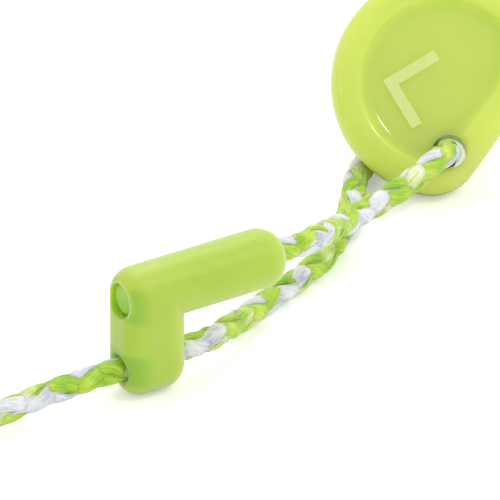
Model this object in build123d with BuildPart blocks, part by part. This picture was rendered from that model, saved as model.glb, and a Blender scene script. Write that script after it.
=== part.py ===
"""A corded pair of foam ear plugs: grips, foam tips, loop sliders and one textile cord.

Millimetres, +Z up. The pair lies on a table at Z = 0, and each slider's barrel points along +X.
Each plug is a rounded paddle of a grip with a shallow thumb dish, a barbed stem on its back, and
a foam tip on a core that pushes onto the stem. The cord loops through a hole near the grip's
toe. Its short end is held in the slider's barrel, and its long run passes through the slider's
foot, so moving the slider changes the loop. Between the two sliders the spare cord lies in a coil.
"""

import os
from math import asin, atan2, cos, degrees, hypot, pi, radians, sin, tan

from build123d import *

# Cord
CORD_RADIUS = 1.4
CORD_REST_Z = CORD_RADIUS
CORD_EASE = 0.1

# Grip: a paddle of three arcs, a bow, a toe at the bottom and a shoulder, with one straight flank
# between the toe and the shoulder. The right grip is the left one's mirror image.
BOW_RADIUS = 12.0
TOE_RADIUS = 5.2
TOE_WAY = 259.1
SHOULDER_RADIUS = 8.5
SHOULDER_WAY = 60.8
GRIP_THICKNESS = 5.6
GRIP_EDGE = 2.4
GRIP_TILT = 35.0
DISH_INSET = 3.0
DISH_DEPTH = 1.0
DISH_TAPER = 42.0
DISH_FLOOR_ROUND = 1.4
DISH_RIM_ROUND = 0.7
HOLE_RADIUS = CORD_RADIUS + 0.4
HOLE_RIM = 0.6
HOLE_ACROSS = 0.5
HOLE_UP = -7.45

# Side letter, raised on the dish's floor: its lower left corner, and the turn of its own right
LETTER_HEIGHT = 6.3
LETTER_WIDTH = 6.0
LETTER_STROKE = 1.2
LETTER_RAISE = 0.25
LETTER_ROOT = 0.2
L_AT = (-6.5, 0.1)
L_TURN = -59.0
R_AT = (3.7, -4.4)
R_TURN = 59.0
R_BOWL_RADIUS = 1.85
R_BOWL_OUT = 0.4
R_LEG_START = 2.8
R_LEG_THICK = 0.6
R_LEG_FOOT = (3.1, 4.6)
R_LEG_TOP = (2.6, 3.2)

# Stem and the core that pushes onto it, along the stem from the grip's mid plane
STEM_ACROSS = -2.2
NECK_RADIUS = 3.0
NECK_LENGTH = 6.5
STEM_RADIUS = 2.5
STEM_LENGTH = 19.0
STEM_NOSE = 0.8
BARB_RADIUS = 2.9
BARB_LENGTH = 1.5
BARB_STARTS = (10.5, 14.5)
CORE_FIT = 0.08
CORE_RADIUS = 4.2
CORE_START = 8.0
CORE_FLANGE_RADIUS = 4.8
CORE_FLANGE = 0.8
CORE_END_GAP = 0.3
CORE_WALL = 1.2

# Foam tip
FOAM_RADIUS = 6.2
FOAM_LENGTH = 22.0
FOAM_STRAIGHT = 9.0
FOAM_NOSE_RADIUS = 4.9
FOAM_NOSE_ROUND = 3.9
FOAM_TAPER_ROUND = 14.0
FOAM_BASE_ROUND = 0.8

# Slider: a barrel over a foot, each with a bore along X
SLIDER_WIDTH = 6.4
SLIDER_LENGTH = 19.8
FOOT_LENGTH = 7.1
FOOT_BORE_Z = SLIDER_WIDTH / 2
BORES_APART = 8.0
BARREL_BORE_Z = FOOT_BORE_Z + BORES_APART
SLIDER_EDGE = 2.3
SLIDER_NOSE = 2.8
BORE_FIT = 0.1
BORE_MOUTH = 0.4
POCKET_RADIUS = 1.95
POCKET_DEPTH = 3.2
CORD_END_RADIUS = 1.8
CORD_END_LENGTH = 2.6
CORD_END_ROUND = 0.6

# Coil of spare cord: two turns side by side in each of two layers
COIL_RADIUS = 15.5
COIL_SECTION = 4 * CORD_RADIUS
COIL_CORNER = 2.2
COIL_CENTRE = (-36.0, COIL_RADIUS + CORD_RADIUS)
COIL_OUTER_TURN = COIL_RADIUS + CORD_RADIUS
COIL_TOP_Z = 3 * CORD_RADIUS
COIL_TAIL = 12.0
COIL_ENTRY_ANGLE = 270.0
COIL_EXIT_ANGLE = 225.0
COIL_EXIT_DROP = 0.125

# Where things lie, from the left slider's foot: the feet, the grips' bow centres, and the ways
# that the foam tips point
LEFT_FOOT = (0.0, 0.0)
LEFT_GRIP_AT = (54.87, 23.0)
LEFT_HEADING = 57.8
RIGHT_FOOT = (-64.0, 48.0)
RIGHT_GRIP_AT = (-20.8, 49.0)
RIGHT_HEADING = 12.0

# The frame's origin, from the left slider's foot: under the middle of the grips' and tips' box,
# read off the built pieces, because a tilted rounded plate has no simple corner to add up
ORIGIN_X = 21.082
ORIGIN_Y = 37.631

# The cord's routes, from the left slider's foot; each loop ends in its grip's hole
LEFT_FRONT_ROUTE = [
    (21.4, 0.0, BARREL_BORE_Z), (26.2, 2.6, 10.0), (30.4, 7.2, 7.2), (34.6, 11.2, 4.8),
    (39.4, 13.9, 4.0), (44.8, 14.5, 4.9)]
LEFT_BACK_ROUTE = [
    (10.6, 0.0, FOOT_BORE_Z), (15.6, 2.5, 2.6), (20.2, 5.6, CORD_REST_Z + CORD_EASE),
    (25.4, 8.1, CORD_REST_Z), (30.6, 10.2, CORD_REST_Z), (35.4, 13.6, CORD_REST_Z),
    (40.4, 18.6, CORD_REST_Z), (44.9, 24.7, CORD_REST_Z), (50.1, 28.9, CORD_REST_Z)]
LEFT_RUN_ROUTE = [(-9.5, 0.0, FOOT_BORE_Z), (-18.0, 0.0, CORD_REST_Z)]
RIGHT_FRONT_ROUTE = [
    (-42.4, 48.0, BARREL_BORE_Z), (-38.0, 48.4, 10.4), (-33.8, 49.2, 8.9)]
RIGHT_BACK_ROUTE = [
    (-53.2, 48.0, FOOT_BORE_Z), (-48.0, 46.3, 2.4), (-42.8, 44.0, CORD_REST_Z + CORD_EASE),
    (-36.8, 41.0, CORD_REST_Z), (-30.2, 38.9, CORD_REST_Z), (-23.8, 38.2, CORD_REST_Z),
    (-18.4, 40.2, CORD_REST_Z), (-16.2, 45.2, CORD_REST_Z)]
RIGHT_RUN_ROUTE = [
    (-63.8, 20.8, CORD_REST_Z), (-73.6, 26.4, CORD_REST_Z), (-82.6, 31.4, CORD_REST_Z),
    (-85.4, 37.4, CORD_REST_Z), (-83.9, 43.9, CORD_REST_Z), (-78.7, 48.0, CORD_REST_Z + CORD_EASE),
    (-71.4, 48.0, FOOT_BORE_Z)]
FRONT_STANDOFF = 4.9
BACK_STANDOFF = 5.0
RUN_MEETS = 4.0

UP = Vector(0, 0, 1)


def placed(point):
    """A point given from the left slider's foot, in the part's own frame."""
    return Vector(point[0] - ORIGIN_X, point[1] - ORIGIN_Y, point[2])


def face_plane(at, heading):
    """The grip's mid plane: origin at the bow's centre, x across, y away from the toe, z out of the dish."""
    tilt = radians(GRIP_TILT)
    reach = (BOW_RADIUS - TOE_RADIUS) * -sin(radians(TOE_WAY)) + TOE_RADIUS - GRIP_EDGE
    band = GRIP_THICKNESS / 2 - GRIP_EDGE
    height = GRIP_EDGE + reach * cos(tilt) + band * sin(tilt)
    ahead = Vector(cos(radians(heading)), sin(radians(heading)), 0)
    across = Vector(ahead.Y, -ahead.X, 0)
    out = ahead * -cos(tilt) + UP * sin(tilt)
    return Plane(origin=placed((at[0], at[1], height)), x_dir=across, z_dir=out)


def stem_plane(face, hand):
    """A level plane through the stem's axis: x across, y along the stem, away from the grip."""
    rise = (FOAM_RADIUS - face.origin.Z) / face.y_dir.Z
    root = face.origin + face.x_dir * (hand * STEM_ACROSS) + face.y_dir * rise
    return Plane(origin=root, x_dir=face.x_dir, z_dir=UP)


def hole_centre(face, hand):
    return face.origin + face.x_dir * (hand * HOLE_ACROSS) + face.y_dir * HOLE_UP


def polar(centre, radius, angle):
    """The point at a radius and an angle in degrees from a centre."""
    return centre[0] + radius * cos(radians(angle)), centre[1] + radius * sin(radians(angle))


def paddle(inset, hand):
    """The grip's outline, or one inside it by an inset, in the current sketch."""
    middle = (0.0, 0.0)
    toe = polar(middle, BOW_RADIUS - TOE_RADIUS, TOE_WAY)
    shoulder = polar(middle, BOW_RADIUS - SHOULDER_RADIUS, SHOULDER_WAY)
    apart = (shoulder[0] - toe[0], shoulder[1] - toe[1])
    lean = degrees(asin((SHOULDER_RADIUS - TOE_RADIUS) / hypot(*apart)))
    flank_way = degrees(atan2(apart[1], apart[0])) - 90 - lean
    bow_arc = [polar(middle, BOW_RADIUS - inset, angle)
               for angle in (TOE_WAY, (TOE_WAY + SHOULDER_WAY) / 2, SHOULDER_WAY)]
    shoulder_arc = [polar(shoulder, SHOULDER_RADIUS - inset, angle)
                    for angle in (SHOULDER_WAY, (SHOULDER_WAY + flank_way) / 2, flank_way)]
    toe_arc = [polar(toe, TOE_RADIUS - inset, angle)
               for angle in (flank_way, (flank_way + TOE_WAY - 360) / 2, TOE_WAY)]
    bow_arc, shoulder_arc, toe_arc = (
        [(hand * x, y) for x, y in arc] for arc in (bow_arc, shoulder_arc, toe_arc))
    with BuildLine() as outline:
        ThreePointArc(*bow_arc)
        ThreePointArc(bow_arc[-1], *shoulder_arc[1:])
        Line(shoulder_arc[-1], toe_arc[0])
        ThreePointArc(*toe_arc[:2], bow_arc[0])
    make_face(outline.edges())


def letter_plane(face, at, turn):
    """The letter's own corner on the dish's floor, with the letter's right at a turn from the grip's."""
    floor = face.offset(GRIP_THICKNESS / 2 - DISH_DEPTH - LETTER_ROOT)
    reading = face.x_dir * cos(radians(turn)) + face.y_dir * sin(radians(turn))
    origin = floor.origin + face.x_dir * at[0] + face.y_dir * at[1]
    return Plane(origin=origin, x_dir=reading, z_dir=face.z_dir)


def letter_l():
    Rectangle(LETTER_STROKE, LETTER_HEIGHT, align=(Align.MIN, Align.MIN))
    Rectangle(LETTER_WIDTH, LETTER_STROKE, align=(Align.MIN, Align.MIN))


def letter_r():
    bowl_at = (LETTER_STROKE + R_BOWL_OUT, LETTER_HEIGHT - R_BOWL_RADIUS)
    Rectangle(LETTER_STROKE, LETTER_HEIGHT, align=(Align.MIN, Align.MIN))
    with Locations((0, LETTER_HEIGHT - 2 * R_BOWL_RADIUS)):
        Rectangle(bowl_at[0], 2 * R_BOWL_RADIUS, align=(Align.MIN, Align.MIN))
    with Locations(bowl_at):
        Circle(R_BOWL_RADIUS)
        Circle(R_BOWL_RADIUS - LETTER_STROKE, mode=Mode.SUBTRACT)
    with BuildLine() as leg:
        Polyline((LETTER_STROKE, R_LEG_START), (R_LEG_FOOT[0], 0), (R_LEG_FOOT[1], 0), R_LEG_TOP,
                 (LETTER_STROKE, R_LEG_START + R_LEG_THICK), (LETTER_STROKE, R_LEG_START))
    make_face(leg.edges())


def level_face(part, face, height):
    """The flat face that lies at a height above the mid plane."""
    for flat in part.faces().filter_by(GeomType.PLANE):
        along = abs(flat.normal_at().dot(face.z_dir)) > 1 - 1e-6
        if along and abs(face.to_local_coords(flat.center()).Z - height) < 1e-3:
            return flat
    raise ValueError(f"no flat face at {height}")


def save(part, name):
    part.label = name
    export_step(part, f"parts/{name}.step")


def build_grip(side, face, hand):
    """The grip with its dish, letter, cord hole and barbed stem. hand is 1 left, -1 right."""
    front = GRIP_THICKNESS / 2
    stem = stem_plane(face, hand)
    hole = Plane(origin=hole_centre(face, hand), x_dir=face.x_dir, z_dir=face.z_dir)
    with BuildPart() as grip:
        with BuildSketch(face.offset(-front)):
            paddle(0, hand)
        extrude(amount=GRIP_THICKNESS)
        rims = level_face(grip, face, front).edges() + level_face(grip, face, -front).edges()
        fillet(rims, GRIP_EDGE)
        with BuildSketch(stem):
            with BuildLine():
                Polyline((0, 0), (NECK_RADIUS, 0), (STEM_RADIUS, NECK_LENGTH),
                         (STEM_RADIUS, STEM_LENGTH - STEM_NOSE),
                         (STEM_RADIUS - STEM_NOSE, STEM_LENGTH), (0, STEM_LENGTH), (0, 0))
            make_face()
            for start in BARB_STARTS:
                with BuildLine():
                    Polyline((0, start), (BARB_RADIUS, start), (STEM_RADIUS, start + BARB_LENGTH),
                             (0, start + BARB_LENGTH), (0, start))
                make_face()
        revolve(axis=Axis(stem.origin, stem.y_dir))
        with BuildSketch(face.offset(front)):
            paddle(DISH_INSET, hand)
        extrude(amount=-DISH_DEPTH, taper=DISH_TAPER, mode=Mode.SUBTRACT)
        fillet(level_face(grip, face, front - DISH_DEPTH).edges(), DISH_FLOOR_ROUND)
        fillet(level_face(grip, face, front).inner_wires()[0].edges(), DISH_RIM_ROUND)
        if hand > 0:
            with BuildSketch(letter_plane(face, L_AT, L_TURN)):
                letter_l()
        else:
            with BuildSketch(letter_plane(face, R_AT, R_TURN)):
                letter_r()
        extrude(amount=LETTER_ROOT + LETTER_RAISE)
        with BuildSketch(hole.offset(-front)):
            Circle(HOLE_RADIUS)
        extrude(amount=GRIP_THICKNESS, mode=Mode.SUBTRACT)
        for end in (-1, 1):
            with BuildSketch(hole.offset(end * front)):
                Circle(HOLE_RADIUS + HOLE_RIM)
            extrude(amount=-end * HOLE_RIM, taper=45, mode=Mode.SUBTRACT)
    save(grip.part, f"{side}_grip")


def build_tip(side, face, hand):
    """The foam tip and the stiff core inside it, coaxial with the grip's stem."""
    stem = stem_plane(face, hand)
    axis = Axis(stem.origin, stem.y_dir)
    bore = BARB_RADIUS + CORE_FIT
    bore_end = STEM_LENGTH + CORE_END_GAP
    core_end = bore_end + CORE_WALL
    foam_start = CORE_START + CORE_FLANGE
    foam_end = foam_start + FOAM_LENGTH
    with BuildPart() as core:
        with BuildSketch(stem):
            with BuildLine():
                Polyline((bore, CORE_START), (CORE_FLANGE_RADIUS, CORE_START),
                         (CORE_FLANGE_RADIUS, foam_start), (CORE_RADIUS, foam_start),
                         (CORE_RADIUS, core_end), (0, core_end), (0, bore_end), (bore, bore_end),
                         (bore, CORE_START))
            make_face()
        revolve(axis=axis)
    save(core.part, f"{side}_tip_core")
    with BuildPart() as foam:
        with BuildSketch(stem):
            with BuildLine():
                FilletPolyline([(CORE_RADIUS, foam_start), (FOAM_RADIUS, foam_start),
                                (FOAM_RADIUS, foam_start + FOAM_STRAIGHT),
                                (FOAM_NOSE_RADIUS, foam_end), (0, foam_end)],
                               radius=[FOAM_BASE_ROUND, FOAM_TAPER_ROUND, FOAM_NOSE_ROUND])
                Polyline((0, foam_end), (0, core_end), (CORE_RADIUS, core_end), (CORE_RADIUS, foam_start))
            make_face()
        revolve(axis=axis)
    save(foam.part, f"{side}_foam_tip")


def build_slider(side, foot):
    """The slider: a barrel over a foot, bored for the cord, with a pocket for the cord's fused end."""
    start = Plane(origin=placed((foot[0], foot[1], 0)), x_dir=(0, 1, 0), z_dir=(1, 0, 0))
    foot_end = start.offset(FOOT_LENGTH)
    nose = start.offset(SLIDER_LENGTH)
    with BuildPart() as slider:
        with BuildSketch(start):
            with Locations((0, (FOOT_BORE_Z + BARREL_BORE_Z) / 2)):
                SlotCenterToCenter(BARREL_BORE_Z - FOOT_BORE_Z, SLIDER_WIDTH, rotation=90)
        extrude(amount=FOOT_LENGTH)
        ends = level_face(slider, start, 0).edges() + level_face(slider, start, FOOT_LENGTH).edges()
        fillet(ends, SLIDER_EDGE)
        with BuildSketch(start.offset(FOOT_LENGTH / 2)):
            with Locations((0, BARREL_BORE_Z)):
                Circle(SLIDER_WIDTH / 2)
        extrude(amount=SLIDER_LENGTH - FOOT_LENGTH / 2)
        fillet(level_face(slider, start, SLIDER_LENGTH).edges(), SLIDER_NOSE)
        for plane, radius, length in (
                (start, CORD_RADIUS + BORE_FIT, FOOT_LENGTH),
                (start, CORD_RADIUS + BORE_MOUTH, BORE_MOUTH),
                (foot_end, CORD_RADIUS + BORE_MOUTH, -BORE_MOUTH)):
            with BuildSketch(plane):
                with Locations((0, FOOT_BORE_Z)):
                    Circle(radius)
            extrude(amount=length, mode=Mode.SUBTRACT)
        for plane, radius, length in (
                (start, CORD_RADIUS, SLIDER_LENGTH),
                (start, POCKET_RADIUS, POCKET_DEPTH),
                (nose, CORD_RADIUS + BORE_MOUTH, -BORE_MOUTH)):
            with BuildSketch(plane):
                with Locations((0, BARREL_BORE_Z)):
                    Circle(radius)
            extrude(amount=length, mode=Mode.SUBTRACT)
    save(slider.part, f"{side}_slider")
    with BuildPart() as end:
        with BuildSketch(start.offset(POCKET_DEPTH)):
            with Locations((0, BARREL_BORE_Z)):
                Circle(CORD_END_RADIUS)
        extrude(amount=-CORD_END_LENGTH)
        fillet(level_face(end, start, POCKET_DEPTH - CORD_END_LENGTH).edges(), CORD_END_ROUND)
    save(end.part, f"{side}_cord_end")


def corner_radii(points):
    """Each corner's arc, as large as 0.45 of the shorter run beside it allows."""
    radii = []
    for before, at, after in zip(points, points[1:], points[2:]):
        turn = radians((at - before).get_angle(after - at))
        shorter = min((at - before).length, (after - at).length)
        radii.append(0.45 * shorter / tan(turn / 2))
    return radii


def build_cord(name, points):
    """A tube of cord: straight runs joined by tangent arcs. Returns its length."""
    radii = corner_radii(points)
    with BuildPart() as cord:
        with BuildLine():
            path = FilletPolyline(points, radius=radii)
        with BuildSketch(Plane(origin=points[0], z_dir=points[1] - points[0])):
            Circle(CORD_RADIUS)
        sweep(path=path)
    save(cord.part, name)
    length = path.length
    share = cord.part.volume / (length * pi * CORD_RADIUS ** 2)
    print(f"{name}: {length:.1f} long, radii {[round(r, 1) for r in radii]}, volume share {share:.3f}")
    return length


def coil_tail(angle, height, sense, drop):
    """Where a turn leaves the coil: its tangent point and its way out. sense 1 is anticlockwise."""
    out = Vector(cos(radians(angle)), sin(radians(angle)), 0)
    centre = placed((COIL_CENTRE[0], COIL_CENTRE[1], height))
    way = Vector(-sense * out.Y, sense * out.X, -drop)
    return centre + out * COIL_OUTER_TURN, way.normalized()


def build_coil(*tails):
    """The coil of spare cord as one closed ring, with a short tail where each end leaves it."""
    centre = placed((COIL_CENTRE[0], COIL_CENTRE[1], 0))
    with BuildPart() as coil:
        with BuildSketch(Plane(origin=centre, x_dir=(1, 0, 0), z_dir=(0, -1, 0))):
            with Locations((COIL_RADIUS, COIL_SECTION / 2)):
                RectangleRounded(COIL_SECTION, COIL_SECTION, COIL_CORNER)
        revolve(axis=Axis(centre, (0, 0, 1)))
        for at, way in tails:
            with BuildSketch(Plane(origin=at, z_dir=way)):
                Circle(CORD_RADIUS)
            extrude(amount=COIL_TAIL)
    save(coil.part, "cord_coil")


def loop_routes(side, foot, face, hand, front_route, back_route):
    """A loop's two strands: from the barrel to the hole's middle, and on from there to the foot."""
    middle = hole_centre(face, hand)
    barrel = placed((foot[0] + POCKET_DEPTH, foot[1], BARREL_BORE_Z))
    foot_inside = placed((foot[0] + RUN_MEETS, foot[1], FOOT_BORE_Z))
    front = [barrel, *map(placed, front_route), middle + face.z_dir * FRONT_STANDOFF, middle]
    back = [foot_inside, *map(placed, back_route), middle - face.z_dir * BACK_STANDOFF, middle]
    return build_cord(f"{side}_loop_front", front) + build_cord(f"{side}_loop_back", back)


os.makedirs("parts", exist_ok=True)
total = 0.0
for side, hand, foot, at, heading, front_route, back_route in (
        ("left", 1, LEFT_FOOT, LEFT_GRIP_AT, LEFT_HEADING, LEFT_FRONT_ROUTE, LEFT_BACK_ROUTE),
        ("right", -1, RIGHT_FOOT, RIGHT_GRIP_AT, RIGHT_HEADING, RIGHT_FRONT_ROUTE, RIGHT_BACK_ROUTE)):
    face = face_plane(at, heading)
    build_grip(side, face, hand)
    build_tip(side, face, hand)
    build_slider(side, foot)
    total += loop_routes(side, foot, face, hand, front_route, back_route)

entry_at, entry_way = coil_tail(COIL_ENTRY_ANGLE, CORD_REST_Z, 1, 0)
exit_at, exit_way = coil_tail(COIL_EXIT_ANGLE, COIL_TOP_Z, -1, COIL_EXIT_DROP)
build_coil((entry_at, entry_way), (exit_at, exit_way))
left_run = [placed((LEFT_FOOT[0] + RUN_MEETS, LEFT_FOOT[1], FOOT_BORE_Z)),
            *map(placed, LEFT_RUN_ROUTE), entry_at + entry_way * COIL_TAIL]
right_run = [exit_at + exit_way * COIL_TAIL, *map(placed, RIGHT_RUN_ROUTE),
             placed((RIGHT_FOOT[0] + RUN_MEETS, RIGHT_FOOT[1], FOOT_BORE_Z))]
total += build_cord("left_cord_run", left_run)
total += build_cord("right_cord_run", right_run)
coil_turns = 4 + (COIL_ENTRY_ANGLE - COIL_EXIT_ANGLE) / 360
coil_length = coil_turns * 2 * pi * COIL_RADIUS + 2 * COIL_TAIL
print(f"coil {coil_length:.1f}, whole cord {total + coil_length:.1f}")
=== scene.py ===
"""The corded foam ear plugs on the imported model's bodies. Metres, in the part's own frame."""

import math

import bpy
import numpy as np
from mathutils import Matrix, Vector, noise


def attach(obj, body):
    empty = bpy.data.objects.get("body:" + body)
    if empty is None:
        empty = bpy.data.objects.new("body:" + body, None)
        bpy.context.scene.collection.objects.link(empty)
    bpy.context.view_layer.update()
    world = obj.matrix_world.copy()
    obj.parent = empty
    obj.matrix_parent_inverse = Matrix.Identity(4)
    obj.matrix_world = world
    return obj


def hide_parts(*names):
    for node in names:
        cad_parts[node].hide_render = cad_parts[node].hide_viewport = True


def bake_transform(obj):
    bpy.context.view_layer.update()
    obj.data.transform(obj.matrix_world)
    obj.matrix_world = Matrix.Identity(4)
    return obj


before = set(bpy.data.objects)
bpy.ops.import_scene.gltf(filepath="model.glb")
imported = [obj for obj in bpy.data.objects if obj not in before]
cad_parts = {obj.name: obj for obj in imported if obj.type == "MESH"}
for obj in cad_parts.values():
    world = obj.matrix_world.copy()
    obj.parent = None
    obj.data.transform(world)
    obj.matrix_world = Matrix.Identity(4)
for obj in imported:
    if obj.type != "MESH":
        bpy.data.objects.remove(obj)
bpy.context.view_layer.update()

MM = 0.001
SIDES = ("left", "right")

# Millimetres from the left slider's foot to the frame's origin, as in the part
ORIGIN = Vector((21.082, 37.631, 0.0))

# ---------------------------------------------------------------- camera

CAMERA_AZIMUTH = math.radians(-32.2)
CAMERA_ELEVATION = math.radians(29.0)
CAMERA_DISTANCE = 1.5
CAMERA_TARGET = (Vector((21.4, 8.4, 7.0)) - ORIGIN) * MM
FIELD_WIDTH = 52.08 * MM


def new_object(name, data):
    made = bpy.data.objects.new(name, data)
    bpy.context.scene.collection.objects.link(made)
    return made


def make_camera():
    data = bpy.data.cameras.new("camera")
    data.lens = data.sensor_width * CAMERA_DISTANCE / FIELD_WIDTH
    data.clip_start, data.clip_end = 0.01, 10.0
    camera = new_object("camera", data)
    back = Vector((math.sin(CAMERA_AZIMUTH) * math.cos(CAMERA_ELEVATION),
                   -math.cos(CAMERA_AZIMUTH) * math.cos(CAMERA_ELEVATION), math.sin(CAMERA_ELEVATION)))
    camera.location = CAMERA_TARGET + back * CAMERA_DISTANCE
    camera.rotation_mode = "QUATERNION"
    camera.rotation_quaternion = (-back).to_track_quat("-Z", "Y")
    bpy.context.scene.camera = camera


make_camera()

# ---------------------------------------------------------------- cords: where they run

# Millimetres from the left slider's foot, as the part's routes are
FOOT_BORE_Z = 3.2
BARREL_BORE_Z = 11.2
POCKET_DEPTH = 3.2
# How far straight out of a grip's hole each strand's last bend lies
FRONT_STANDOFF = 4.9
BACK_STANDOFF = 5.0
# How far inside the foot the loop's strand and the long run meet
RUN_MEETS = 4.0
TILT = math.radians(35.0)
BOW_RADIUS, TOE_RADIUS, TOE_WAY = 12.0, 5.2, math.radians(259.1)
GRIP_EDGE, GRIP_BAND = 2.4, 0.4
TOE_DROP = (TOE_RADIUS - BOW_RADIUS) * math.sin(TOE_WAY) + TOE_RADIUS - GRIP_EDGE
GRIP_CENTRE_Z = GRIP_EDGE + TOE_DROP * math.cos(TILT) + GRIP_BAND * math.sin(TILT)
HOLE_ACROSS, HOLE_UP = 0.5, -7.45
STEM_ACROSS = -2.2
LAYOUT = {
    "left": {"foot": (0.0, 0.0), "grip": (54.87, 23.0), "heading": 57.8, "hand": 1},
    "right": {"foot": (-64.0, 48.0), "grip": (-20.8, 49.0), "heading": 12.0, "hand": -1},
}
FRONT_ROUTE = {
    "left": [(21.4, 0.0, 11.2), (26.2, 2.6, 10.0), (30.4, 7.2, 7.2), (34.6, 11.2, 4.8), (39.4, 13.9, 4.0),
             (44.8, 14.5, 4.9)],
    "right": [(-42.4, 48.0, 11.2), (-38.0, 48.4, 10.4), (-33.8, 49.2, 8.9)],
}
BACK_ROUTE = {
    "left": [(10.6, 0.0, 3.2), (15.6, 2.5, 2.6), (20.2, 5.6, 1.5), (25.4, 8.1, 1.4), (30.6, 10.2, 1.4),
             (35.4, 13.6, 1.4), (40.4, 18.6, 1.4), (44.9, 24.7, 1.4), (50.1, 28.9, 1.4)],
    "right": [(-53.2, 48.0, 3.2), (-48.0, 46.3, 2.4), (-42.8, 44.0, 1.5), (-36.8, 41.0, 1.4),
              (-30.2, 38.9, 1.4), (-23.8, 38.2, 1.4), (-18.4, 40.2, 1.4), (-16.2, 45.2, 1.4)],
}
LEFT_RUN_ROUTE = [(-9.5, 0.0, 3.2), (-18.0, 0.0, 1.4), (-24.0, 0.0, 1.4)]
RIGHT_RUN_ROUTE = [
    (-63.8, 20.8, 1.4), (-73.6, 26.4, 1.4), (-82.6, 31.4, 1.4), (-85.4, 37.4, 1.4), (-83.9, 43.9, 1.4),
    (-78.7, 48.0, 1.5), (-71.4, 48.0, 3.2)]

CORD_RADIUS = 1.4
COIL_CENTRE = (-36.0, 16.9)
COIL_RADIUS = 15.5
COIL_MIDDLE_Z = 2 * CORD_RADIUS
COIL_START = 270.0
COIL_TURNS = 4.125
COIL_POINTS_PER_TURN = 16
# Share of a turn over which the strands change place, and how steeply the last part comes down
COIL_CHANGE = 0.17
COIL_END_DROP = 12.0


def placed(point):
    return (Vector(point) - ORIGIN) * MM


def grip_ways(side):
    """A grip's ways: ahead to the foam tip, across the grip, and up the grip's face."""
    heading = math.radians(LAYOUT[side]["heading"])
    ahead = Vector((math.cos(heading), math.sin(heading), 0.0))
    across = Vector((ahead.y, -ahead.x, 0.0))
    up = ahead * math.sin(TILT) + Vector((0.0, 0.0, math.cos(TILT)))
    return ahead, across, up


def hole_of(side):
    """The middle of a grip's cord hole, and the hole's way out of the dish."""
    place = LAYOUT[side]
    ahead, across, up = grip_ways(side)
    centre = Vector((*place["grip"], GRIP_CENTRE_Z)) + across * place["hand"] * HOLE_ACROSS + up * HOLE_UP
    return placed(centre), ahead * -math.cos(TILT) + Vector((0.0, 0.0, math.sin(TILT)))


def eased(share):
    share = min(1.0, max(0.0, share))
    return share * share * (3 - 2 * share)


def coil_points():
    """Four turns, two below and two above. Near the start of each turn all strands change place."""
    points = []
    for step in range(int(COIL_TURNS * COIL_POINTS_PER_TURN) + 1):
        turn = step / COIL_POINTS_PER_TURN
        whole = math.floor(turn + COIL_CHANGE)
        share = eased((turn + COIL_CHANGE - whole) / COIL_CHANGE) if whole else 0.0
        place = max(0, whole - 1) + share
        if place <= 3:
            section = math.radians(-45.0 - 90.0 * place)
            away = math.sqrt(2) * CORD_RADIUS
            radius = COIL_RADIUS + away * math.cos(section)
            height = COIL_MIDDLE_Z + away * math.sin(section)
            height += (away - CORD_RADIUS) * math.sin(math.pi * share) ** 2
        else:
            radius = COIL_RADIUS + CORD_RADIUS * (1 + 2 * (place - 3))
            height = COIL_MIDDLE_Z + CORD_RADIUS - COIL_END_DROP * max(0.0, turn - 4.0)
        angle = math.radians(COIL_START - 360.0 * turn)
        points.append((COIL_CENTRE[0] + radius * math.cos(angle), COIL_CENTRE[1] + radius * math.sin(angle),
                       height))
    return points


def smooth_line(name, points):
    """The cord's centreline: a NURBS spline on the route's points, read back as close points."""
    data = bpy.data.curves.new(name, "CURVE")
    data.dimensions = "3D"
    data.resolution_u = 10
    spline = data.splines.new("NURBS")
    spline.points.add(len(points) - 1)
    for made, point in zip(spline.points, points):
        made.co = (*point, 1.0)
    spline.order_u = 3
    spline.use_endpoint_u = True
    holder = bpy.data.objects.new(name, data)
    mesh = bpy.data.meshes.new_from_object(holder)
    line = np.array([v.co for v in mesh.vertices], float)
    bpy.data.objects.remove(holder)
    bpy.data.meshes.remove(mesh)
    return line


def front_points(side):
    """From the pocket in the barrel to the middle of the grip's hole."""
    middle, out = hole_of(side)
    foot = LAYOUT[side]["foot"]
    start = placed((foot[0] + POCKET_DEPTH, foot[1], BARREL_BORE_Z))
    return [start, *map(placed, FRONT_ROUTE[side]), middle + out * FRONT_STANDOFF * MM, middle]


def inside_foot(side):
    """Where the loop's strand and the long run meet, inside the foot's bore."""
    foot = LAYOUT[side]["foot"]
    return placed((foot[0] + RUN_MEETS, foot[1], FOOT_BORE_Z))


def back_points(side):
    """From inside the foot to the middle of the grip's hole, from behind."""
    middle, out = hole_of(side)
    return [inside_foot(side), *map(placed, BACK_ROUTE[side]), middle - out * BACK_STANDOFF * MM, middle]


neck_points = [inside_foot("left"), *map(placed, LEFT_RUN_ROUTE), *map(placed, coil_points()),
               *map(placed, RIGHT_RUN_ROUTE), inside_foot("right")]

# ---------------------------------------------------------------- materials


def new_material(name):
    material = bpy.data.materials.new(name)
    material.use_nodes = True
    tree = material.node_tree
    tree.nodes.clear()
    return material, tree


def add(tree, kind, values=None, **settings):
    """A node with its settings, and its inputs either set or linked."""
    node = tree.nodes.new(kind)
    for key, value in settings.items():
        setattr(node, key, value)
    for key, value in (values or {}).items():
        socket = node.inputs[key]
        if isinstance(value, bpy.types.NodeSocket):
            tree.links.new(value, socket)
        else:
            socket.default_value = value
    return node


def maths(tree, operation, *values):
    return add(tree, "ShaderNodeMath", dict(enumerate(values)), operation=operation).outputs[0]


def ramp(tree, factor, stops):
    """A colour ramp on a factor."""
    node = add(tree, "ShaderNodeValToRGB", {"Fac": factor})
    while len(node.color_ramp.elements) < len(stops):
        node.color_ramp.elements.new(0.5)
    for element, (position, colour) in zip(node.color_ramp.elements, stops):
        element.position = position
        element.color = (*colour, 1.0)
    return node.outputs["Color"]


def grey(value):
    return (value, value, value)


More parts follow.
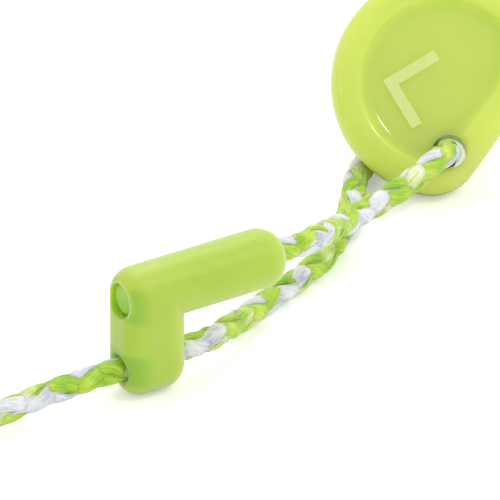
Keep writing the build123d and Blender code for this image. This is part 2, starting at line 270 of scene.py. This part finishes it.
def srgb(red, green, blue):
    """A colour written as it looks on a screen, 0 to 255."""
    return tuple(c / 12.92 if c <= 0.04045 else ((c + 0.055) / 1.055) ** 2.4
                 for c in (red / 255, green / 255, blue / 255))


def surface(tree, shader):
    add(tree, "ShaderNodeOutputMaterial", {"Surface": shader.outputs[0]})


def moulded(name, light, dark, roughness, coat, subsurface, depth, grain, grain_height):
    """Soft translucent plastic: cloudy colour, light that goes in and comes out, and a fine skin."""
    material, tree = new_material(name)
    place = add(tree, "ShaderNodeTexCoord").outputs["Object"]
    cloud = add(tree, "ShaderNodeTexNoise", {"Vector": place, "Scale": 140.0, "Detail": 3.0})
    colour = ramp(tree, cloud.outputs["Fac"], [(0.3, dark), (0.7, light)])
    skin = add(tree, "ShaderNodeTexNoise", {"Vector": place, "Scale": grain, "Detail": 4.0})
    bump = add(tree, "ShaderNodeBump", {"Height": skin.outputs["Fac"], "Strength": 1.0,
                                        "Distance": grain_height})
    rough = ramp(tree, skin.outputs["Fac"], [(0.2, grey(roughness * 0.8)), (0.8, grey(roughness * 1.2))])
    shader = add(tree, "ShaderNodeBsdfPrincipled", {
        "Base Color": colour, "Roughness": rough, "Normal": bump.outputs["Normal"], "IOR": 1.5,
        "Coat Weight": coat, "Coat Roughness": 0.06, "Subsurface Weight": subsurface,
        "Subsurface Radius": (1.0, 1.0, 0.45), "Subsurface Scale": depth})
    surface(tree, shader)
    return material, tree, shader


def yarn_material(name, light, middle, dark):
    """Bundled filaments along a yarn, from its own UV: across in turns, along in millimetres."""
    material, tree = new_material(name)
    uv = add(tree, "ShaderNodeUVMap", uv_map="yarn").outputs["UV"]
    parts = add(tree, "ShaderNodeSeparateXYZ", {"Vector": uv})
    lean = maths(tree, "MULTIPLY", parts.outputs["Y"], 0.05)
    across = maths(tree, "MULTIPLY", maths(tree, "ADD", parts.outputs["X"], lean), 26.0)
    along = maths(tree, "MULTIPLY", parts.outputs["Y"], 0.55)
    grid = add(tree, "ShaderNodeCombineXYZ", {"X": across, "Y": along})
    fibre = add(tree, "ShaderNodeTexNoise", {"Vector": grid.outputs[0], "Scale": 1.0, "Detail": 3.0,
                                             "Roughness": 0.6})
    patch = add(tree, "ShaderNodeTexNoise", {"Vector": add(tree, "ShaderNodeTexCoord").outputs["Object"],
                                             "Scale": 420.0, "Detail": 2.0})
    both = maths(tree, "ADD", fibre.outputs["Fac"], patch.outputs["Fac"])
    # Painted light and shade: the ramp's lighter and darker stops are partly the yarn's own fibre tone,
    # partly lit and shaded colours, laid at random by the fibre and patch noise
    colour = ramp(tree, maths(tree, "MULTIPLY", both, 0.5), [(0.36, dark), (0.5, middle), (0.64, light)])
    bump = add(tree, "ShaderNodeBump", {"Height": fibre.outputs["Fac"], "Strength": 1.0,
                                        "Distance": 0.00009})
    rough = ramp(tree, fibre.outputs["Fac"], [(0.3, grey(0.62)), (0.7, grey(0.42))])
    shader = add(tree, "ShaderNodeBsdfPrincipled", {
        "Base Color": colour, "Roughness": rough, "Normal": bump.outputs["Normal"], "IOR": 1.45,
        "Sheen Weight": 0.25, "Sheen Roughness": 0.4, "Subsurface Weight": 0.35,
        "Subsurface Radius": (1.0, 1.0, 0.6), "Subsurface Scale": 0.0005})
    surface(tree, shader)
    return material


def foam_material():
    """Slow foam: a matt skin with fine open pores, whose middles carry painted shade."""
    material, tree = new_material("foam_skin")
    place = add(tree, "ShaderNodeTexCoord").outputs["Object"]
    cell = add(tree, "ShaderNodeTexVoronoi", {"Vector": place, "Scale": 3200.0, "Randomness": 1.0})
    cloud = add(tree, "ShaderNodeTexNoise", {"Vector": place, "Scale": 380.0, "Detail": 5.0})
    pore = ramp(tree, cell.outputs["Distance"], [(0.12, grey(0.0)), (0.4, grey(1.0))])
    tone = ramp(tree, cloud.outputs["Fac"], [(0.3, srgb(176, 205, 60)), (0.7, srgb(205, 226, 96))])
    # Painted shade: the pores' middles, which the bump sinks, are mixed towards a darker green
    colour = add(tree, "ShaderNodeMix", {"Factor": pore, "A": (*srgb(132, 168, 38), 1.0), "B": tone},
                 data_type="RGBA")
    bump = add(tree, "ShaderNodeBump", {"Height": pore, "Strength": 0.8, "Distance": 0.00006})
    soft = add(tree, "ShaderNodeBump", {"Height": cloud.outputs["Fac"], "Strength": 0.6, "Distance": 0.0002,
                                        "Normal": bump.outputs["Normal"]})
    rough = ramp(tree, cloud.outputs["Fac"], [(0.3, grey(0.82)), (0.7, grey(0.95))])
    shader = add(tree, "ShaderNodeBsdfPrincipled", {
        "Base Color": colour.outputs["Result"], "Roughness": rough, "Normal": soft.outputs["Normal"],
        "IOR": 1.35, "Sheen Weight": 0.35, "Sheen Roughness": 0.6, "Subsurface Weight": 0.4,
        "Subsurface Radius": (1.0, 1.0, 0.4), "Subsurface Scale": 0.0012})
    surface(tree, shader)
    return material


grip_plastic = moulded("grip_plastic", srgb(208, 222, 106), srgb(203, 219, 99), 0.16, 0.0, 1.0, 0.006,
                       900.0, 0.00001)[0]
letter_plastic = moulded("letter_plastic", srgb(222, 232, 150), srgb(216, 228, 142), 0.3, 0.0, 0.6, 0.001,
                         900.0, 0.00001)[0]
core_plastic = moulded("core_plastic", srgb(232, 236, 226), srgb(214, 220, 206), 0.45, 0.0, 0.3, 0.001,
                       2400.0, 0.00002)[0]
fused_cord = moulded("fused_cord", srgb(196, 230, 104), srgb(150, 206, 62), 0.5, 0.0, 0.4, 0.0008,
                     2600.0, 0.00012)[0]
foam_skin = foam_material()

# Strength of the painted shade near the bores' mouths
BORE_SHADE_STRENGTH = 0.7


def near_bore(tree, place, side, height, depth):
    """1 beside a bore's mouth, falling to 0 around it: the mask of the painted shade, for where the real
    plastic lets the cord show and the bore lies in shade.
    """
    foot = placed((*LAYOUT[side]["foot"], height))
    parts = add(tree, "ShaderNodeSeparateXYZ", {"Vector": place})
    inward = add(tree, "ShaderNodeMapRange", {
        "Value": parts.outputs["X"], "From Min": foot.x + 0.4 * MM, "From Max": foot.x + depth,
        "To Min": 1.0, "To Max": 0.0}, interpolation_type="SMOOTHSTEP").outputs["Result"]
    off = maths(tree, "ABSOLUTE", maths(tree, "SUBTRACT", parts.outputs["Z"], foot.z))
    level = add(tree, "ShaderNodeMapRange", {
        "Value": off, "From Min": 1.3 * MM, "From Max": 2.3 * MM, "To Min": 1.0, "To Max": 0.0},
        interpolation_type="SMOOTHSTEP").outputs["Result"]
    return maths(tree, "MULTIPLY", inward, level)


def slider_material(name, side):
    """Frosted soft plastic, with painted shade near the bores' mouths for the cord seen through the wall
    and the shade inside the bores. It is not see-through.
    """
    material, tree, shader = moulded(name, srgb(184, 210, 76), srgb(176, 204, 66), 0.42, 0.0, 1.0, 0.004,
                                     2600.0, 0.00003)
    place = add(tree, "ShaderNodeTexCoord").outputs["Object"]
    upper = near_bore(tree, place, side, BARREL_BORE_Z, 2.8 * MM)
    lower = near_bore(tree, place, side, FOOT_BORE_Z + 0.4, 3.2 * MM)
    # Painted shade: the slider's colour is mixed towards a darker green near the bores' mouths, for the
    # cord seen through the wall and the shade inside the bores
    bore_shade = maths(tree, "MULTIPLY", maths(tree, "MAXIMUM", upper, lower), BORE_SHADE_STRENGTH)
    colour = shader.inputs["Base Color"].links[0].from_socket
    shaded_colour = add(tree, "ShaderNodeMix", {"Factor": bore_shade, "A": colour, "B": (*srgb(132, 190, 50), 1.0)},
                 data_type="RGBA")
    tree.links.new(shaded_colour.outputs["Result"], shader.inputs["Base Color"])
    shader.inputs["Sheen Weight"].default_value = 0.5
    shader.inputs["Sheen Roughness"].default_value = 0.45
    return material


# Each yarn's lighter and darker stops are partly painted light and painted shade; the white yarn's lavender
# grey is painted shade
YARNS = {
    "green": yarn_material("green_yarn", srgb(220, 236, 116), srgb(182, 218, 62), srgb(128, 188, 40)),
    "white": yarn_material("white_yarn", srgb(250, 251, 250), srgb(232, 235, 238), srgb(186, 190, 206)),
    "mixed": yarn_material("mixed_yarn", srgb(252, 253, 240), srgb(208, 230, 120), srgb(134, 200, 40)),
}

# ---------------------------------------------------------------- cords: the braid

BRAID_PITCH = 17.0 * MM
CARRIERS = 3
YARN_WIDTH = 0.86 * MM
YARN_THICK = 0.44 * MM
YARN_AWAY = 0.70 * MM
YARN_SWING = 0.24 * MM
YARN_SIDES = 10
YARN_STEP = 0.45 * MM
CORE_AWAY = 0.60 * MM
# Waves along the cord, as size and length: of the whole braid, of one yarn's place and of its width
BRAID_WANDER = ((0.10, 4.1 * MM, 0.0), (0.12, 9.7 * MM, 1.0))
YARN_STRAY = (0.07, 3.1 * MM)
YARN_SWELL = ((0.07, 1.9 * MM), (0.05, 5.3 * MM))
# What each yarn is, for the three carriers that go one way round and the three that go the other
YARN_COLOURS = (("green", "green", "white"), ("green", "white", "mixed"))


def even_line(line, step):
    """The same line at even steps, with the distance along it."""
    runs = np.linalg.norm(np.diff(line, axis=0), axis=1)
    along = np.concatenate([[0.0], np.cumsum(runs)])
    count = int(round(along[-1] / step)) + 1
    at = np.linspace(0.0, along[-1], count)
    return at, np.stack([np.interp(at, along, line[:, k]) for k in range(3)], axis=1)


def turning_frames(points):
    """Two directions across the line at each point, which never twist about it."""
    ways = np.gradient(points, axis=0)
    ways /= np.linalg.norm(ways, axis=1)[:, None]
    side = np.cross(ways[0], (0.0, 0.0, 1.0))
    if np.linalg.norm(side) < 1e-3:
        side = np.cross(ways[0], (0.0, 1.0, 0.0))
    sides = [side / np.linalg.norm(side)]
    for way in ways[1:]:
        side = sides[-1] - way * np.dot(sides[-1], way)
        sides.append(side / np.linalg.norm(side))
    sides = np.array(sides)
    return sides, np.cross(ways, sides)


def tube(centres, wide, high, widths, heights, count):
    """Rings of a tube with an oval section."""
    turns = np.arange(count) * 2 * math.pi / count
    return (centres[:, None, :]
            + wide[:, None, :] * (widths[:, None] * np.cos(turns))[:, :, None]
            + high[:, None, :] * (heights[:, None] * np.sin(turns))[:, :, None])


def braid(name, line):
    """A round braid of six yarns over a core. Gives the object, its centreline and its length."""
    along, points = even_line(line, YARN_STEP)
    sides, ups = turning_frames(points)
    wander = sum(size * np.sin(along / length + shift) for size, length, shift in BRAID_WANDER)
    phase = 2 * math.pi * along / BRAID_PITCH + wander
    verts, faces, uvs, slots = [], [], [], []

    def add_tube(rings, slot):
        count = rings.shape[1]
        base = sum(len(v) for v in verts)
        verts.append(rings.reshape(-1, 3))
        for i in range(len(rings) - 1):
            for k in range(count):
                a = base + i * count + k
                b = base + i * count + (k + 1) % count
                faces.append((a, a + count, b + count, b))
                uvs.append(((k / count, along[i] / MM), (k / count, along[i + 1] / MM),
                            ((k + 1) / count, along[i + 1] / MM), ((k + 1) / count, along[i] / MM)))
                slots.append(slot)
        for end in (0, len(rings) - 1):
            ring = [base + end * count + k for k in range(count)]
            faces.append(ring if end else ring[::-1])
            uvs.append([(0.0, 0.0)] * count)
            slots.append(slot)

    names = list(YARNS)
    for way_round, sense in enumerate((1, -1)):
        for carrier in range(CARRIERS):
            seed = 1.7 * carrier + 4.0 * way_round
            stray = YARN_STRAY[0] * np.sin(along / YARN_STRAY[1] + seed)
            turn = sense * phase + carrier * 2 * math.pi / CARRIERS + stray
            out = sides * np.cos(turn)[:, None] + ups * np.sin(turn)[:, None]
            swing = sense * YARN_SWING * np.cos(CARRIERS * phase)
            centres = points + out * (YARN_AWAY + swing)[:, None]
            heading = np.gradient(centres, axis=0)
            heading /= np.linalg.norm(heading, axis=1)[:, None]
            wide = np.cross(heading, out)
            wide /= np.linalg.norm(wide, axis=1)[:, None]
            full = sum((size * np.sin(along / length + times * seed)
                        for times, (size, length) in enumerate(YARN_SWELL, 1)), 1)
            rings = tube(centres, wide, np.cross(wide, heading), YARN_WIDTH * full,
                         YARN_THICK * np.ones(len(along)), YARN_SIDES)
            add_tube(rings, names.index(YARN_COLOURS[way_round][carrier]))
    core = np.full(len(along), CORE_AWAY)
    add_tube(tube(points, sides, ups, core, core, YARN_SIDES), names.index("green"))

    mesh = bpy.data.meshes.new(name)
    mesh.from_pydata(np.concatenate(verts).tolist(), [], faces)
    for material in YARNS.values():
        mesh.materials.append(material)
    mesh.polygons.foreach_set("material_index", slots)
    mesh.polygons.foreach_set("use_smooth", [True] * len(faces))
    layer = mesh.uv_layers.new(name="yarn")
    layer.data.foreach_set("uv", [c for face in uvs for uv in face for c in uv])
    mesh.update()
    cord = new_object(name, mesh)
    return cord, points, float(along[-1])


for side in SIDES:
    line = smooth_line(f"{side}_front_line", front_points(side))
    cord, points, length = braid(f"{side}_front_cord", line)
    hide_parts(f"{side}_loop_front")
    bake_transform(cord)
    print(f"{side} front cord {length / MM:.1f} mm")

for side in SIDES:
    line = smooth_line(f"{side}_back_line", back_points(side))
    cord, points, length = braid(f"{side}_back_cord", line)
    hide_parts(f"{side}_loop_back")
    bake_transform(cord)
    print(f"{side} back cord {length / MM:.1f} mm")

line = smooth_line("neck_line", neck_points)
cord, points, length = braid("neck_cord", line)
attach(cord, "cord")
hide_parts("cord_coil", *(f"{side}_cord_run" for side in SIDES))
print(f"neck cord {length / MM:.1f} mm")

# ---------------------------------------------------------------- foam tips

FOAM_START = 8.8
FOAM_LENGTH = 22.0
FOAM_RADIUS = 6.2
FOAM_NOSE_RADIUS = 4.9
FOAM_STRAIGHT = 9.0
FOAM_HOLE = 4.25
FOAM_BASE_ROUND = 0.9
FOAM_NOSE_ROUND = 3.7
BASE_STEPS, WALL_STEPS, NOSE_STEPS = 8, 70, 28
FOAM_SIDES = 112


def foam_profile(share):
    """Distance along the stem and radius, at a share of the way over the outside from base to nose."""
    along = FOAM_LENGTH * share
    if along < FOAM_STRAIGHT:
        radius = FOAM_RADIUS
    else:
        t = (along - FOAM_STRAIGHT) / (FOAM_LENGTH - FOAM_STRAIGHT)
        radius = FOAM_RADIUS - (FOAM_RADIUS - FOAM_NOSE_RADIUS) * t * t
    return along, radius


def foam_outline():
    """The foam's outline from the hole at its base, round the outside, to the middle of its nose."""
    outline = [(2.0, FOAM_HOLE), (0.6, FOAM_HOLE), (0.15, FOAM_HOLE + 0.12), (0.0, FOAM_HOLE + 0.5)]
    for k in range(BASE_STEPS + 1):
        a = math.pi / 2 * k / BASE_STEPS
        outline.append((FOAM_BASE_ROUND * (1 - math.sin(math.pi / 2 - a)),
                        FOAM_RADIUS - FOAM_BASE_ROUND * (1 - math.sin(a))))
    last = FOAM_LENGTH - FOAM_NOSE_ROUND
    for k in range(1, WALL_STEPS):
        along = FOAM_BASE_ROUND + (last - FOAM_BASE_ROUND) * k / WALL_STEPS
        outline.append(foam_profile(along / FOAM_LENGTH))
    edge = foam_profile(last / FOAM_LENGTH)[1]
    for k in range(NOSE_STEPS + 1):
        a = math.pi / 2 * k / NOSE_STEPS
        outline.append((last + FOAM_NOSE_ROUND * math.sin(a), edge - FOAM_NOSE_ROUND * (1 - math.cos(a))))
    flat = edge - FOAM_NOSE_ROUND
    for k in range(1, 6):
        outline.append((FOAM_LENGTH - 0.02 * k * k, flat * (1 - k / 5.2)))
    return outline


def make_foam(side):
    """A foam tip: turned round the stem's axis, with the slight unevenness of cut and rolled foam."""
    place = LAYOUT[side]
    ahead, across, up = grip_ways(side)
    origin = Vector((*place["grip"], GRIP_CENTRE_Z)) + across * place["hand"] * STEM_ACROSS
    origin += up * (FOAM_RADIUS - GRIP_CENTRE_Z) / up.z
    upright = Vector((0.0, 0.0, 1.0))
    outline = foam_outline()
    verts, faces = [], []
    for along, radius in outline:
        for k in range(FOAM_SIDES):
            a = 2 * math.pi * k / FOAM_SIDES
            spoke = across * math.cos(a) + upright * math.sin(a)
            point = origin + ahead * (FOAM_START + along) + spoke * radius
            if radius > FOAM_HOLE + 0.3:
                lump = noise.fractal(point * 0.35, 0.6, 2.0, 3) * 0.10 + noise.noise(point * 1.6) * 0.035
                point -= spoke * (0.06 + lump * 0.8) if radius > 5.0 else spoke * 0.05
            verts.append(placed(point))
    for i in range(len(outline) - 1):
        for k in range(FOAM_SIDES):
            a, b = i * FOAM_SIDES + k, i * FOAM_SIDES + (k + 1) % FOAM_SIDES
            faces.append((a, a + FOAM_SIDES, b + FOAM_SIDES, b))
    last = (len(outline) - 1) * FOAM_SIDES
    faces.append([last + k for k in range(FOAM_SIDES)][::-1])
    mesh = bpy.data.meshes.new(f"{side}_foam")
    mesh.from_pydata(verts, [], faces)
    mesh.polygons.foreach_set("use_smooth", [True] * len(faces))
    mesh.materials.append(foam_skin)
    mesh.update()
    foam = new_object(f"{side}_foam", mesh)
    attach(foam, f"{side}_tip_body")
    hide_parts(f"{side}_foam_tip")


for side in SIDES:
    make_foam(side)

# ---------------------------------------------------------------- the moulded pieces


# The letter's top above the middle of the cord hole, and how near to it a face has to lie
LETTER_TOP = 2.05 * MM
LETTER_NEAR = 0.03 * MM


def dress(node, material):
    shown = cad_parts[node]
    shown.data.materials.clear()
    shown.data.materials.append(material)


def letter_faces(side):
    """The faces of a grip's raised letter: level with the letter's top, and facing out of the dish."""
    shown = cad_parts[f"{side}_grip"]
    middle, out = hole_of(side)
    turned = shown.matrix_world.to_3x3()
    shown.data.materials.append(letter_plastic)
    for face in shown.data.polygons:
        above = (shown.matrix_world @ face.center - middle).dot(out)
        if abs(above - LETTER_TOP) < LETTER_NEAR and (turned @ face.normal).dot(out) > 0.99:
            face.material_index = 1


for side in SIDES:
    dress(f"{side}_grip", grip_plastic)
    letter_faces(side)
    dress(f"{side}_tip_core", core_plastic)
    dress(f"{side}_cord_end", fused_cord)
    dress(f"{side}_slider", slider_material(f"{side}_slider_plastic", side))

# ---------------------------------------------------------------- floor and light

FLOOR_HALF = 1.5
FLOOR_DEPTH = 0.05 * MM
FLOOR_GLOW = 0.3
SURROUND_LIGHT = 0.86


def make_floor():
    mesh = bpy.data.meshes.new("floor")
    mesh.from_pydata([(-FLOOR_HALF, -FLOOR_HALF, -FLOOR_DEPTH), (FLOOR_HALF, -FLOOR_HALF, -FLOOR_DEPTH),
                      (FLOOR_HALF, FLOOR_HALF, -FLOOR_DEPTH), (-FLOOR_HALF, FLOOR_HALF, -FLOOR_DEPTH)],
                     [], [(0, 1, 2, 3)])
    material, tree = new_material("pale_floor")
    place = add(tree, "ShaderNodeTexCoord").outputs["Object"]
    cloud = add(tree, "ShaderNodeTexNoise", {"Vector": place, "Scale": 30.0, "Detail": 2.0})
    colour = ramp(tree, cloud.outputs["Fac"], [(0.3, grey(0.93)), (0.7, grey(0.95))])
    diffuse = add(tree, "ShaderNodeBsdfDiffuse", {"Color": colour})
    glow = add(tree, "ShaderNodeEmission", {"Color": (1.0, 1.0, 1.0, 1.0), "Strength": FLOOR_GLOW})
    both = add(tree, "ShaderNodeAddShader", {0: diffuse.outputs[0], 1: glow.outputs[0]})
    seen = add(tree, "ShaderNodeLightPath").outputs["Is Camera Ray"]
    mixed = add(tree, "ShaderNodeMixShader", {0: seen, 1: diffuse.outputs[0], 2: both.outputs[0]})
    surface(tree, mixed)
    mesh.materials.append(material)
    new_object("floor", mesh)


def add_lamp(name, location, size, power):
    data = bpy.data.lights.new(name, "AREA")
    data.shape = "DISK"
    data.size = size
    data.energy = power
    lamp = new_object(name, data)
    lamp.location = location
    lamp.rotation_mode = "QUATERNION"
    lamp.rotation_quaternion = (CAMERA_TARGET - Vector(location)).to_track_quat("-Z", "Y")


def make_world():
    world = bpy.data.worlds.new("studio")
    bpy.context.scene.world = world
    world.use_nodes = True
    tree = world.node_tree
    tree.nodes.clear()
    shell = add(tree, "ShaderNodeBackground", {"Color": (1.0, 1.0, 1.0, 1.0), "Strength": SURROUND_LIGHT})
    white = add(tree, "ShaderNodeBackground", {"Color": (1.0, 1.0, 1.0, 1.0), "Strength": 1.0})
    seen = add(tree, "ShaderNodeLightPath").outputs["Is Camera Ray"]
    mixed = add(tree, "ShaderNodeMixShader", {0: seen, 1: shell.outputs[0], 2: white.outputs[0]})
    add(tree, "ShaderNodeOutputWorld", {"Surface": mixed.outputs[0]})


make_floor()
make_world()
add_lamp("key", (0.26, -0.49, 0.70), 0.10, 1.1)
add_lamp("side", (-0.80, 0.25, 0.22), 0.06, 0.12)
add_lamp("top", (0.25, 0.45, 0.80), 0.50, 2.2)

bpy.context.scene.view_settings.view_transform = "Standard"
